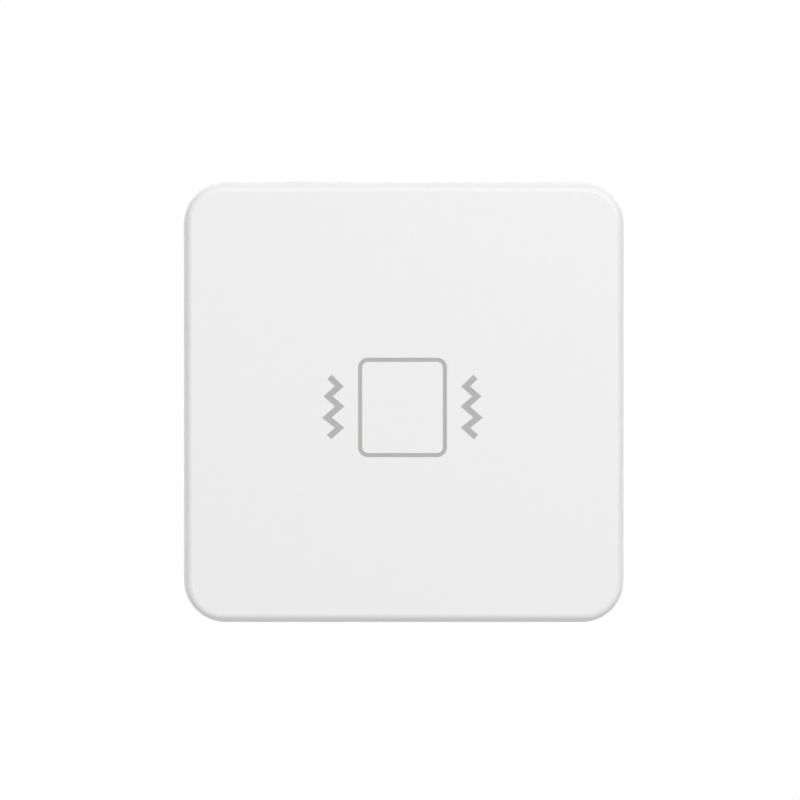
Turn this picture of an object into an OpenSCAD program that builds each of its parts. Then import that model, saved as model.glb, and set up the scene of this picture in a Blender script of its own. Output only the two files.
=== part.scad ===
// Square vibration sensor tag that sticks to a wall by its rear cover.
// Drawn lying on its back: X to the right, Y up the wall, Z from the wall to the front.
// upright() then stands it up, so that the front looks along -Y and +Z is up.

/* [Housing] */
// Width and height of the housing at its rim
body_w = 36; // [35:0.5:42]
// Radius of the housing's corners at the rim
corner_r = 3.55; // [2.9:0.05:4.2]
// How far each side leans in between the rim and the front face
side_taper = 0.7; // [0.5:0.05:1.1]
// Radius of the rounded edge around the front face
edge_r = 0.55; // [0.3:0.05:0.8]
// Bevel around the outer edge of the rim
rim_bevel = 0.25; // [0.1:0.05:0.4]
// Thickness of the side walls
wall_t = 1.4; // [1.2:0.05:1.6]
// Thickness of the front wall
front_t = 1.4; // [1.2:0.05:1.8]
// Thickness of the rim beside the rear cover
rim_t = 0.9; // [0.7:0.05:1.1]
// Width of the pry slot in the bottom of the rim
pry_w = 6; // [4:0.5:10]
// Height of the pry slot above the rear cover's plate
pry_rise = 0.4; // [0.3:0.05:0.6]

/* [Rear cover] */
// Thickness of the rear cover's plate
cover_t = 1.1; // [0.9:0.05:1.4]
// Height of the skirt that enters the housing
skirt_h = 1.9; // [1.5:0.1:2.3]
// Thickness of the skirt
skirt_t = 0.8; // [0.6:0.05:1]
// Bevel that leads the skirt into the housing
skirt_lead = 0.3; // [0.1:0.05:0.4]
// Gap all around between the rear cover and the housing
cover_gap = 0.1; // [0.06:0.01:0.15]
// Length of each grip rib on the skirt
grip_l = 5; // [3:0.5:6]
// Radius of the grip ribs
grip_r = 0.35; // [0.25:0.05:0.45]
// Distance between the two grip ribs of a side
grip_pitch = 16; // [14:0.5:18]

/* [Adhesive pad] */
// Width and height of the adhesive pad
pad_w = 26; // [20:0.5:29]
// Corner radius of the adhesive pad
pad_r = 3; // [1:0.5:5]
// Thickness of the adhesive pad
pad_t = 0.7; // [0.5:0.05:1.2]
// Depth of the pad's recess in the rear cover
pad_sink = 0.3; // [0.2:0.05:0.4]
// Gap all around the pad in its recess
pad_gap = 0.15; // [0.1:0.05:0.4]

/* [Coin cell] */
// Diameter of the coin cell
cell_d = 20; // [18:0.1:20.5]
// Height of the coin cell
cell_h = 3.2; // [2.5:0.1:3.6]
// Width of the can's rolled edge
can_edge = 1; // [0.7:0.05:1.5]
// Width of the seal ring between can and cap
seal_t = 0.3; // [0.2:0.05:0.5]
// How far the cap stands above the can's rolled edge
cap_rise = 0.3; // [0.2:0.05:0.5]
// Thickness of the can's floor
can_t = 0.3; // [0.2:0.05:0.4]
// Rounding of the can's edges
can_round = 0.3; // [0.2:0.05:0.5]

/* [Cell clip and contact] */
// Sheet thickness of the cell clip
clip_t = 0.25; // [0.15:0.05:0.3]
// Width of the clip's strap over the cell
strap_w = 8; // [7:0.5:10]
// Width of the arm that ends in the cell's stop
stop_w = 5; // [3:0.5:6]
// Outer bend radius of the clip
bend_r = 0.55; // [0.45:0.05:0.8]
// Length of the clip's solder feet
foot_l = 1.5; // [1:0.1:2]
// Length of each spring tongue cut in the strap
tongue_l = 5; // [3:0.5:6]
// Width of each spring tongue
tongue_w = 2; // [1.5:0.1:2.5]
// Width of the slot around a tongue
tongue_slot = 0.4; // [0.3:0.05:0.6]
// Gap between the cell and the clip's legs
cell_gap = 0.1; // [0.05:0.05:0.2]
// Room between the board and the cell, filled by the negative contact
contact_h = 0.35; // [0.3:0.05:0.6]
// Sheet thickness of the negative contact
contact_t = 0.12; // [0.1:0.01:0.15]
// Length of the negative contact
contact_l = 7; // [5:0.5:9]
// Width of the negative contact
contact_w = 4; // [3:0.5:6]
// Width of the gap between the contact's two leaves
leaf_gap = 1; // [0.5:0.1:1.6]
// Length of the contact's bowed leaves
leaf_l = 5.4; // [4:0.2:6.4]
// Gap between the clip and the rear cover
rear_gap = 0.2; // [0.15:0.05:0.5]

/* [Circuit board] */
// Thickness of the circuit board
board_t = 1; // [0.8:0.1:1.2]
// Gap between the board's edge and the housing
board_gap = 0.3; // [0.2:0.05:0.5]
// Room between the board and the front wall
chip_room = 1.5; // [1.4:0.05:2]
// Distance of the screws and pegs from the board's edges
post_inset = 3.3; // [3:0.1:3.8]
// Diameter of the screw bosses
boss_d = 3.8; // [3.4:0.1:4.4]
// Diameter of the locating pegs
peg_d = 1.5; // [1.2:0.1:1.8]
// Length of the tapered tip of the pegs
peg_tip = 0.25; // [0.1:0.05:0.3]
// Thickness of the ribs between the bosses and the walls
rib_t = 0.8; // [0.6:0.05:1]
// Diameter of the seats around the pegs
seat_d = 3.2; // [2.6:0.1:3.8]
// How far the pegs stand out behind the board
peg_out = 0.5; // [0.3:0.1:0.8]
// Gap around screws and pegs in the board
hole_gap = 0.12; // [0.05:0.01:0.2]
// Diameter of a screw's core
screw_d = 1.5; // [1.2:0.1:1.7]
// Diameter of a screw's head
head_d = 2.8; // [2.4:0.1:3.2]
// Height of a screw's head
head_h = 0.8; // [0.6:0.1:1]
// Width of the cross slot in a screw's head
slot_w = 0.4; // [0.3:0.05:0.5]
// How far a screw enters its boss
screw_bite = 1.5; // [1.2:0.1:1.7]
// Depth of a boss's bore past the screw's tip
bore_spare = 0.2; // [0.1:0.05:0.3]
// Radial gap between a screw's core and its bore
bore_gap = 0.03; // [0.02:0.01:0.05]

/* [Button and switch] */
// Place of the button along the top edge
button_x = -7.4; // [-8:0.1:-6.5]
// Width of the button's key
button_w = 4.5; // [4:0.1:5]
// Height of the button's key
button_h = 2.2; // [1.8:0.1:2.6]
// How far the key stands out of the top side
button_proud = 0; // [-0.1:0.05:0.5]
// Bevel around the key's outer end
button_bevel = 0.15; // [0.1:0.05:0.3]
// Gap around the key in its slot
button_gap = 0.1; // [0.05:0.01:0.15]
// How far the button's flange reaches past the key
flange_reach = 0.4; // [0.3:0.05:0.5]
// Thickness of the button's flange
flange_t = 0.7; // [0.5:0.05:0.9]
// Travel of the button
button_travel = 0.3; // [0.2:0.05:0.4]
// Length of the post between flange and switch
button_post = 0.6; // [0.4:0.1:0.8]
// Width of the switch
switch_w = 4.4; // [3.6:0.1:4.8]
// Depth of the switch along the board
switch_l = 2.2; // [1.8:0.1:2.6]
// Height of the switch on the board
switch_h = 1.8; // [1.6:0.1:2]
// Sheet thickness of the switch's cover
switch_sheet = 0.2; // [0.15:0.05:0.25]
// Length of the solder tabs of the switch's cover
tab_l = 0.5; // [0.3:0.05:0.7]
// Width of the solder tabs of the switch's cover
tab_w = 0.8; // [0.5:0.1:1.2]
// Width of the switch's plunger
plunger_w = 1.5; // [1.2:0.1:1.8]
// Height of the switch's plunger
plunger_h = 0.8; // [0.6:0.05:0.9]
// How far the plunger stands out of the switch
plunger_out = 0.6; // [0.5:0.05:0.8]
// Length of the plunger inside the switch
plunger_in = 0.7; // [0.5:0.1:1]
// Gap around the plunger
plunger_gap = 0.06; // [0.04:0.01:0.1]

/* [Electronics] */
// Place of the status light, from the board's middle
led_pos = [0, 10.5]; // [-12:0.5:12]
// Length, width and height of the status light
led_size = [1.6, 0.8, 0.6]; // [0.4:0.1:2]
// Length of the status light's lens
lens_l = 1; // [0.8:0.05:1.2]
// Height of the status light's base
led_base_h = 0.25; // [0.15:0.05:0.35]
// Diameter of the light guide
guide_d = 3; // [2.4:0.1:3.6]
// Front wall left in front of the light guide
guide_skin = 0.8; // [0.6:0.05:1]
// Wall of the ring that holds the light guide
guide_wall = 0.7; // [0.5:0.1:1]
// Height of the ring that holds the light guide
guide_ring_h = 0.6; // [0.4:0.05:0.7]
// Gap around the light guide
guide_gap = 0.05; // [0.02:0.01:0.1]
// Length, width and height of the radio chip
radio_size = [5, 5, 0.85]; // [0.6:0.05:7]
// Length, width and height of the accelerometer
accel_size = [2.5, 2.5, 0.95]; // [0.6:0.05:4]
// Length, width and height of the chip antenna
antenna_size = [2, 5.2, 1.1]; // [0.6:0.1:7]
// Length, width and height of the inductor
inductor_size = [2.4, 2, 1]; // [0.6:0.1:3]
// Place of the reservoir capacitor across the board
reservoir_x = -5; // [-7:0.5:-3]
// Length, width and height of the reservoir capacitor
reservoir_size = [3.5, 2.8, 1.9]; // [1:0.1:4]
// Length, width and height of the radio's crystal
crystal_size = [2.5, 2, 0.6]; // [0.5:0.1:3.2]
// Length, width and height of the clock crystal
clock_size = [3.2, 1.5, 0.8]; // [0.5:0.1:4]
// Length, width and height of a chip capacitor
capacitor_size = [1.6, 0.8, 0.8]; // [0.3:0.1:2]
// Length, width and height of a chip resistor
resistor_size = [1, 0.5, 0.35]; // [0.3:0.05:1.6]
// Height of a crystal's metal lid
lid_h = 0.25; // [0.15:0.05:0.35]
// Step between a crystal's lid and its base
lid_step = 0.12; // [0.05:0.01:0.2]
// Length of the metal ends of a chip capacitor
capacitor_end = 0.35; // [0.2:0.05:0.5]
// Length of the metal ends of a chip resistor
resistor_end = 0.22; // [0.1:0.02:0.3]
// Length of the metal ends of the chip antenna
antenna_end = 0.6; // [0.3:0.1:1]
// How far the metal ends stand proud of a chip's body
end_step = 0.03; // [0.02:0.01:0.05]
// Bevel around the top of the moulded chips
chip_bevel = 0.12; // [0.05:0.01:0.2]
// Diameter of the mark at a chip's first pin
mark_d = 0.5; // [0.3:0.05:0.7]
// Depth of the mark at a chip's first pin
mark_depth = 0.06; // [0.03:0.01:0.1]

/* [Hidden] */
$fn = 96;

// How far a cut runs past the face that it opens, and an added piece into what carries it
overcut = 0.3;
// How far the rounded edge crosses the faces it joins, so that they meet at a clear edge
edge_bite = 0.004;
// Gap left where two pieces slide past each other or a rib nearly touches
slide_gap = 0.02;
// Gap between pieces that must not touch while one of them moves
free_gap = 0.3;

// Heights of the stack, from the wall to the front face
rim_z = pad_t - pad_sink;
cover_in_z = rim_z + cover_t;
clip_z = cover_in_z + rear_gap;
cell_z = clip_z + clip_t;
cell_top_z = cell_z + cell_h;
board_z = cell_top_z + contact_h;
board_top_z = board_z + board_t;
ceiling_z = board_top_z + chip_room;
front_z = ceiling_z + front_t;
skirt_z = cover_in_z + skirt_h;
body_t = front_z - rim_z;

// The convex side is an arc that stands square on the rim
side_r = (pow(body_t, 2) + pow(side_taper, 2)) / (2 * side_taper);
corner_c = body_w / 2 - corner_r;
edge_z = front_z - edge_r + edge_bite;
edge_x = corner_r - side_r + sqrt(pow(side_r - edge_r + edge_bite, 2) - pow(edge_z - rim_z, 2));

// Insets of the rear cover from the housing's side
plate_inset = rim_t + cover_gap;
skirt_inset = wall_t + cover_gap;
skirt_inner = skirt_inset + skirt_t;

// Circuit board, concentric with the housing's corners
board_half = side_at(board_top_z, wall_t) - board_gap;
board_corner = corner_r - body_w / 2 + board_half;
post_c = board_half - post_inset;
screw_places = [[post_c, post_c], [-post_c, -post_c]];
peg_places = [[-post_c, post_c], [post_c, -post_c]];
bore_d = screw_d + 2 * bore_gap;
bore_z = board_top_z + screw_bite + bore_spare;

// Coin cell and its clip: the cap fills the can inside its edge and the seal,
// and the stop stands clear of the skirt
cap_d = cell_d - 2 * (can_edge + seal_t);
stop_x = side_at(skirt_z, skirt_inner) - free_gap - clip_t;
cell_x = stop_x - cell_gap - cell_d / 2;
leg_y = cell_d / 2 + cell_gap;

// Button: the flange stands just inside the top wall
button_z = board_z - switch_h / 2;
flange_w = button_w + 2 * flange_reach;
flange_h = button_h + 2 * flange_reach;
flange_y = side_at(button_z + flange_h / 2, wall_t) - cover_gap;
button_y = side_at(button_z) + button_proud;
plunger_y = flange_y - flange_t - button_post;
switch_y = plunger_y - plunger_out;
notch_y = flange_y - flange_t - button_travel - free_gap;
notch_w = flange_w + 2 * free_gap;

// Places of the chips on the board's front, from its middle
radio_pos = [-4, -3.5];
accel_pos = [4.5, 1];
antenna_pos = [-13.2, 3];
inductor_pos = [-9.2, 3.4];
crystal_pos = [-9.6, -3.5];
clock_pos = [-4, -9.2];
capacitor_places = [
    [1, -6.5], [1, -4.5], [1, -2.5], [-6.4, 1.2], [-3.4, 1.2], [8.2, 2.4], [8.2, 0.2]
];
resistor_places = [[4, -6.5], [4, -5], [4, -3.5], [-12.6, -2], [-12.6, -5], [2.6, 10.5], [8.2, -2]];
// Place of the reservoir capacitor on the board's rear, clear of the sliding cell
reservoir_pos = [reservoir_x, -leg_y - 2 * free_gap - reservoir_size[1] / 2];

// Half-width of the housing's side at height z, moved in by inset
function side_at(z, inset = 0) =
    body_w / 2 - side_r + sqrt(pow(side_r - inset, 2) - pow(z - rim_z, 2));

// Stands a piece drawn lying on its back up against the wall
module upright() {
    rotate([90, 0, 0]) children();
}

// Section of the housing's side between two heights, outwards from the corner's axis
module side_section(inset, z0, z1) {
    intersection() {
        translate([corner_r - side_r, rim_z]) circle(r = side_r - inset);
        translate([0, z0]) square([corner_r, z1 - z0]);
    }
}

// Section of the front cover's outside: bevelled rim, convex side, rounded front edge
module cover_section() {
    intersection() {
        translate([corner_r - side_r, rim_z]) circle(r = side_r);
        polygon([
            [0, rim_z], [corner_r - rim_bevel, rim_z], [corner_r, rim_z + rim_bevel],
            [corner_r, front_z], [0, front_z]
        ]);
        union() {
            translate([0, rim_z]) square([edge_x, body_t]);
            translate([0, rim_z]) square([corner_r, edge_z - rim_z]);
            translate([edge_x, edge_z]) circle(r = edge_r);
        }
    }
}

// Sweeps a section around the rounded square and fills the middle
module swept_block(z0, z1) {
    translate([-corner_c, -corner_c, z0]) cube([2 * corner_c, 2 * corner_c, z1 - z0]);
    for (turn = [0 : 90 : 270]) rotate(turn) translate([corner_c, corner_c, 0]) {
        rotate_extrude(angle = 90) children();
        rotate([90, 0, 0]) linear_extrude(2 * corner_c) children();
    }
}

// Block inside the housing's side, moved in by inset
module housing_block(inset, z0, z1) {
    swept_block(z0, z1) side_section(inset, z0, z1);
}

// Flat outline of a square with round corners
module round_square(half, r) {
    square([2 * half, 2 * (half - r)], center = true);
    square([2 * (half - r), 2 * half], center = true);
    for (x = [-1, 1], y = [-1, 1]) translate([x * (half - r), y * (half - r)]) circle(r = r);
}

// Flat outline of a slot with round ends
module round_slot(w, h) {
    square([w - h, h], center = true);
    for (x = [-1, 1]) translate([x * (w - h) / 2, 0]) circle(d = h);
}

// Flat outline of a box that is open at the top and has two round corners at the bottom
module tub(half, depth, r) {
    translate([-half, r]) square([2 * half, depth - r]);
    translate([-half + r, 0]) square([2 * (half - r), depth]);
    for (x = [-1, 1]) translate([x * (half - r), r]) circle(r = r);
}

// Section of a sheet bent into a U
module bent_sheet(half, depth, t, r) {
    difference() {
        tub(half, depth, r);
        translate([0, t]) tub(half - t, depth, r - t);
    }
}

// Ribs of the skirt, two to a side, as rods of radius r around the inset face
module grip_rods(inset, r) {
    z = cover_in_z + skirt_h / 2;
    for (turn = [0 : 90 : 270], step = [-1, 1])
        rotate(turn)
            translate([side_at(z, inset) - r, step * grip_pitch / 2, z])
                rotate([90, 0, 0]) cylinder(r = r, h = grip_l, center = true);
}

// Section of the rear cover's skirt, bevelled where it enters the housing
module skirt_section() {
    outer = side_at(skirt_z, skirt_inset) - body_w / 2 + corner_r;
    intersection() {
        side_section(skirt_inset, cover_in_z - overcut, skirt_z);
        polygon([
            [0, rim_z], [corner_r, rim_z], [corner_r, skirt_z - skirt_lead - corner_r + outer],
            [outer - skirt_lead, skirt_z], [0, skirt_z]
        ]);
    }
}

// Section of a moulded block, with bevels at both ends of its top
module bevelled_section(w, h, bevel) {
    polygon([
        [-w / 2, 0], [w / 2, 0], [w / 2, h - bevel], [w / 2 - bevel, h],
        [-w / 2 + bevel, h], [-w / 2, h - bevel]
    ]);
}

// Moulded block with a bevel around its top
module moulded_block(size) {
    intersection() {
        rotate([90, 0, 0]) linear_extrude(size[1], center = true)
            bevelled_section(size[0], size[2], chip_bevel);
        rotate([90, 0, 90]) linear_extrude(size[0], center = true)
            bevelled_section(size[1], size[2], chip_bevel);
    }
}

// Moulded chip with a round mark at its first pin
module chip(pos, size) {
    mark_at = [mark_d - size[0] / 2 + chip_bevel, size[1] / 2 - mark_d - chip_bevel, size[2] - mark_depth];
    translate([pos[0], pos[1], board_top_z]) difference() {
        moulded_block(size);
        translate(mark_at) cylinder(d = mark_d, h = overcut);
    }
}

// Chip with metal ends that stand a little proud of its body, lengthwise along X
module capped_chip(pos, size, end_l) {
    body = [size[0] - end_l, size[1] - 2 * end_step, size[2] - end_step];
    translate([pos[0], pos[1], board_top_z]) {
        translate([0, 0, body[2] / 2]) cube(body, center = true);
        for (side = [-1, 1]) translate([side * (size[0] - end_l) / 2, 0, size[2] / 2])
            cube([end_l, size[1], size[2]], center = true);
    }
}

// Crystal: a base with a narrower metal lid
module crystal(pos, size) {
    block(pos, [size[0], size[1], size[2] - lid_h]);
    block(pos, [size[0] - 2 * lid_step, size[1] - 2 * lid_step, size[2]]);
}

// Ribs that tie a post at p to the two walls of its corner
module corner_ribs(p) {
    reach = side_at(ceiling_z, wall_t) + overcut - post_c;
    low = board_top_z + free_gap;
    for (turn = [-45, 45]) translate([p[0], p[1], low]) rotate(atan2(p[1], p[0]) + turn)
        translate([0, -rib_t / 2, 0]) cube([reach, rib_t, ceiling_z + overcut - low]);
}

// Bar with round ends and a bevel around its top
module bevelled_bar(w, h, l, bevel) {
    for (turn = [0, 180]) rotate(turn) translate([(w - h) / 2, 0, 0]) rotate(-90)
        rotate_extrude(angle = 180) intersection() {
            bevelled_section(h, l, bevel);
            square([h, l]);
        }
    rotate([90, 0, 90]) linear_extrude(w - h, center = true) bevelled_section(h, l, bevel);
}

// Plain block component on the front of the board
module block(pos, size) {
    translate([pos[0] - size[0] / 2, pos[1] - size[1] / 2, board_top_z]) cube(size);
}

// Rear cover: a plate with the pad's recess and a ribbed skirt
module rear_cover() {
    color("white") upright() difference() {
        union() {
            housing_block(plate_inset, rim_z, cover_in_z);
            difference() {
                union() {
                    swept_block(cover_in_z - overcut, skirt_z) skirt_section();
                    grip_rods(wall_t + slide_gap, grip_r);
                }
                housing_block(skirt_inner, cover_in_z, skirt_z + overcut);
            }
        }
        translate([0, 0, rim_z - overcut]) linear_extrude(pad_sink + overcut)
            round_square(pad_w / 2 + pad_gap, pad_r + pad_gap);
        translate([button_x - notch_w / 2, side_at(rim_z, skirt_inner) - overcut, cover_in_z + free_gap])
            cube([notch_w, skirt_t + 2 * overcut, skirt_h]);
    }
}

// Foam pad that sticks the rear cover to the wall
module adhesive_pad() {
    color("gainsboro") upright() linear_extrude(pad_t) round_square(pad_w / 2, pad_r);
}

// Front cover: a shell with the board's bosses and pegs inside
module front_cover() {
    color("white") upright() difference() {
        union() {
            difference() {
                swept_block(rim_z, front_z) cover_section();
                housing_block(rim_t, rim_z - overcut, cover_in_z);
                housing_block(wall_t, cover_in_z - overcut, ceiling_z);
                grip_rods(wall_t - slide_gap, grip_r);
            }
            for (p = screw_places) translate([p[0], p[1], board_top_z])
                cylinder(d = boss_d, h = chip_room + overcut);
            for (p = peg_places) translate([p[0], p[1], 0]) {
                translate([0, 0, board_top_z]) cylinder(d = seat_d, h = chip_room + overcut);
                translate([0, 0, board_z - peg_out + peg_tip])
                    cylinder(d = peg_d, h = board_t + peg_out - peg_tip + overcut);
                translate([0, 0, board_z - peg_out])
                    cylinder(d1 = peg_d - 2 * peg_tip, d2 = peg_d, h = peg_tip);
            }
            for (p = concat(screw_places, peg_places)) corner_ribs(p);
            translate([led_pos[0], led_pos[1], ceiling_z - guide_ring_h])
                cylinder(d = guide_d + 2 * (guide_gap + guide_wall), h = guide_ring_h + overcut);
        }
        for (p = screw_places) translate([p[0], p[1], board_top_z - overcut])
            cylinder(d = bore_d, h = bore_z - board_top_z + overcut);
        translate([led_pos[0], led_pos[1], ceiling_z - guide_ring_h - overcut])
            cylinder(d = guide_d + 2 * guide_gap, h = guide_ring_h + overcut + front_t - guide_skin);
        translate([button_x, body_w / 2 + overcut, button_z]) rotate([90, 0, 0])
            linear_extrude(body_w / 2 + overcut - flange_y)
                round_slot(button_w + 2 * button_gap, button_h + 2 * button_gap);
        translate([-pry_w / 2, -body_w / 2 - overcut, rim_z - overcut])
            cube([pry_w, rim_t + 2 * overcut, cover_t + pry_rise + overcut]);
    }
}

// Clear rod that carries the status light to the thin spot of the front wall
module light_guide() {
    color("aliceblue") upright() translate([led_pos[0], led_pos[1], ceiling_z - guide_ring_h])
        cylinder(d = guide_d, h = guide_ring_h + front_t - guide_skin);
}

// Key in the top edge, with the flange that keeps it in and the post that presses the switch
module pair_button() {
    color("white") upright() translate([button_x, 0, button_z]) {
        translate([0, flange_y - overcut, 0]) rotate([-90, 0, 0])
            bevelled_bar(button_w, button_h, button_y - flange_y + overcut, button_bevel);
        translate([0, flange_y, 0]) rotate([90, 0, 0]) linear_extrude(flange_t)
            round_slot(flange_w, flange_h);
        translate([-plunger_w / 2, plunger_y, -plunger_h / 2])
            cube([plunger_w, button_post + overcut, plunger_h]);
    }
}

// Board with its screw holes, peg holes and the button's notch
module circuit_board() {
    color("seagreen") upright() translate([0, 0, board_z]) linear_extrude(board_t) difference() {
        round_square(board_half, board_corner);
        for (p = screw_places) translate(p) circle(d = screw_d + 2 * hole_gap);
        for (p = peg_places) translate(p) circle(d = peg_d + 2 * hole_gap);
        translate([button_x - notch_w / 2, notch_y]) square([notch_w, board_half - notch_y + overcut]);
    }
}

// Two screws through the board into the front cover's bosses
module board_screws() {
    color("silver") upright() for (p = screw_places) translate([p[0], p[1], board_z]) difference() {
        union() {
            translate([0, 0, -head_h]) cylinder(d1 = head_d - head_h, d2 = head_d, h = head_h / 2);
            translate([0, 0, -head_h / 2]) cylinder(d = head_d, h = head_h / 2);
            cylinder(d = screw_d, h = board_t + screw_bite);
        }
        for (turn = [45, 135]) rotate(turn)
            translate([0, 0, -head_h]) cube([head_d / 2, slot_w, head_h], center = true);
    }
}

// Sheet-metal clip: strap over the cell, two legs with feet, an arm with the cell's stop
module cell_clip() {
    legs = leg_y + clip_t;
    rise = board_z - clip_z;
    color("silver") upright() translate([0, 0, clip_z]) difference() {
        union() {
            translate([cell_x - strap_w / 2, 0, 0]) rotate([90, 0, 90]) linear_extrude(strap_w)
                bent_sheet(legs, rise, clip_t, bend_r);
            for (side = [-1, 1]) translate([cell_x, side * (leg_y + foot_l / 2), rise - clip_t / 2])
                cube([strap_w, foot_l, clip_t], center = true);
            translate([cell_x, stop_w / 2, 0]) rotate([90, 0, 0]) linear_extrude(stop_w) intersection() {
                bent_sheet(stop_x + clip_t - cell_x, rise, clip_t, bend_r);
                square([body_w, rise]);
            }
        }
        for (side = [-1, 1]) translate([cell_x + side * strap_w / 4, 0, 0]) difference() {
            cube([tongue_w + 2 * tongue_slot, tongue_l + 2 * tongue_slot, 2 * clip_t], center = true);
            translate([0, -tongue_slot, 0])
                cube([tongue_w, tongue_l + 2 * tongue_slot, 3 * clip_t], center = true);
        }
    }
}

// Leaf contact under the cell: a base on the board and two bowed leaves
module negative_contact() {
    sag = contact_h - slide_gap - contact_t / 2;
    bow_r = (pow(leaf_l / 2, 2) + pow(sag, 2)) / (2 * sag);
    color("gold") upright() translate([cell_x, 0, board_z]) {
        translate([-contact_l / 2, -contact_w / 2, -contact_t]) cube([contact_l, contact_w, contact_t]);
        for (side = [-1, 1]) translate([0, side * (contact_w + leaf_gap) / 4, -contact_h + slide_gap])
            rotate([90, 0, 0]) linear_extrude((contact_w - leaf_gap) / 2, center = true) intersection() {
                difference() {
                    translate([0, bow_r]) circle(r = bow_r, $fn = 256);
                    translate([0, bow_r]) circle(r = bow_r - contact_t, $fn = 256);
                }
                translate([-leaf_l / 2, -overcut]) square([leaf_l, sag + overcut]);
            }
    }
}

// Ring about the cell's axis, from a section that is measured from the cell's rear face
module cell_ring() {
    upright() translate([cell_x, 0, cell_z]) rotate_extrude() children();
}

// Steel can of the coin cell, rear face and rolled edge
module cell_can() {
    top = cell_h - cap_rise;
    color("lightsteelblue") cell_ring() difference() {
        union() {
            square([cell_d / 2 - can_round, top]);
            translate([0, can_round]) square([cell_d / 2, top - 2 * can_round]);
            for (z = [can_round, top - can_round])
                translate([cell_d / 2 - can_round, z]) circle(r = can_round);
        }
        translate([-overcut, can_t]) square([cap_d / 2 + seal_t + overcut, cell_h]);
    }
}

// Seal ring between can and cap
module cell_seal() {
    color("dimgray") cell_ring() translate([cap_d / 2, can_t])
        square([seal_t, cell_h - cap_rise - can_t]);
}

// Steel cap of the coin cell, with the filling below it
module cell_cap() {
    color("silver") cell_ring() {
        translate([0, can_t]) square([cap_d / 2, cell_h - cap_rise - can_t]);
        translate([0, can_t]) square([cap_d / 2 - cap_rise, cell_h - can_t]);
        translate([cap_d / 2 - cap_rise, cell_h - cap_rise]) circle(r = cap_rise);
    }
}

// Switch's moulded body, with the plunger's channel
module switch_body() {
    low = board_z - switch_h + switch_sheet;
    color("dimgray") upright() translate([button_x, switch_y, 0]) difference() {
        translate([-switch_w / 2, -switch_l, low]) cube([switch_w, switch_l, switch_h - switch_sheet]);
        translate([-plunger_w / 2 - plunger_gap, -plunger_in - button_travel - plunger_gap,
            button_z - plunger_h / 2 - plunger_gap])
            cube([plunger_w + 2 * plunger_gap, switch_l, plunger_h + 2 * plunger_gap]);
    }
}

// Sheet cover bent over the switch's body, with a solder tab on each side
module switch_cover() {
    half = switch_w / 2 + switch_sheet;
    tab_x = half + (tab_l - switch_sheet) / 2;
    color("silver") upright() translate([button_x, switch_y, board_z - switch_h]) {
        rotate([90, 0, 0]) linear_extrude(switch_l) difference() {
            translate([-half, 0]) square([2 * half, switch_h]);
            translate([-switch_w / 2, switch_sheet]) square([switch_w, switch_h]);
        }
        for (side = [-1, 1]) translate([side * tab_x, -switch_l / 2, switch_h - switch_sheet / 2])
            cube([tab_l + switch_sheet, tab_w, switch_sheet], center = true);
    }
}

// Plunger that the button pushes into the switch
module switch_plunger() {
    corner = [button_x - plunger_w / 2, switch_y - plunger_in, button_z - plunger_h / 2];
    color("black") upright() translate(corner) cube([plunger_w, plunger_in + plunger_out, plunger_h]);
}

// Radio and processor chip
module radio_chip() {
    color("black") upright() chip(radio_pos, radio_size);
}

// Motion-sensing chip
module accelerometer() {
    color("black") upright() chip(accel_pos, accel_size);
}

// Radio crystal and clock crystal in metal cans
module crystals() {
    color("silver") upright() {
        crystal(crystal_pos, crystal_size);
        crystal(clock_pos, clock_size);
    }
}

// Ceramic antenna near the board's left edge
module chip_antenna() {
    color("ivory") upright() translate(antenna_pos) rotate(90)
        capped_chip([0, 0], [antenna_size[1], antenna_size[0], antenna_size[2]], antenna_end);
}

// Status light on the board, behind the light guide
module status_led() {
    color("lemonchiffon") upright() {
        block(led_pos, [led_size[0], led_size[1], led_base_h]);
        translate([led_pos[0], led_pos[1], board_top_z]) moulded_block([lens_l, led_size[1], led_size[2]]);
    }
}

// Inductor of the supply
module inductor() {
    color("dimgray") upright() chip(inductor_pos, inductor_size);
}

// Reservoir capacitor on the board's rear
module reservoir_capacitor() {
    color("orange") upright() translate([reservoir_pos[0], reservoir_pos[1], board_z])
        rotate([180, 0, 0]) moulded_block(reservoir_size);
}

// Chip capacitors beside the chips
module chip_capacitors() {
    color("burlywood") upright() for (p = capacitor_places)
        capped_chip(p, capacitor_size, capacitor_end);
}

// Chip resistors beside the chips
module chip_resistors() {
    color("black") upright() for (p = resistor_places)
        capped_chip(p, resistor_size, resistor_end);
}

rear_cover();
adhesive_pad();
front_cover();
light_guide();
pair_button();
circuit_board();
board_screws();
cell_clip();
negative_contact();
cell_can();
cell_seal();
cell_cap();
switch_body();
switch_cover();
switch_plunger();
radio_chip();
accelerometer();
crystals();
chip_antenna();
status_led();
inductor();
reservoir_capacitor();
chip_capacitors();
chip_resistors();
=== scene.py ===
# %% [markdown]
# # Dressing a vibration sensor tag
# The tag is a small white square that sticks to a wall or a machine and reports when it shakes.
# Its solid parts come from the CAD model as a fixed frame. This lesson gives each of them its finish
# and adds what only shows on the surface: the printed sign, the foam of the pad, solder, pads, tracks.

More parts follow.
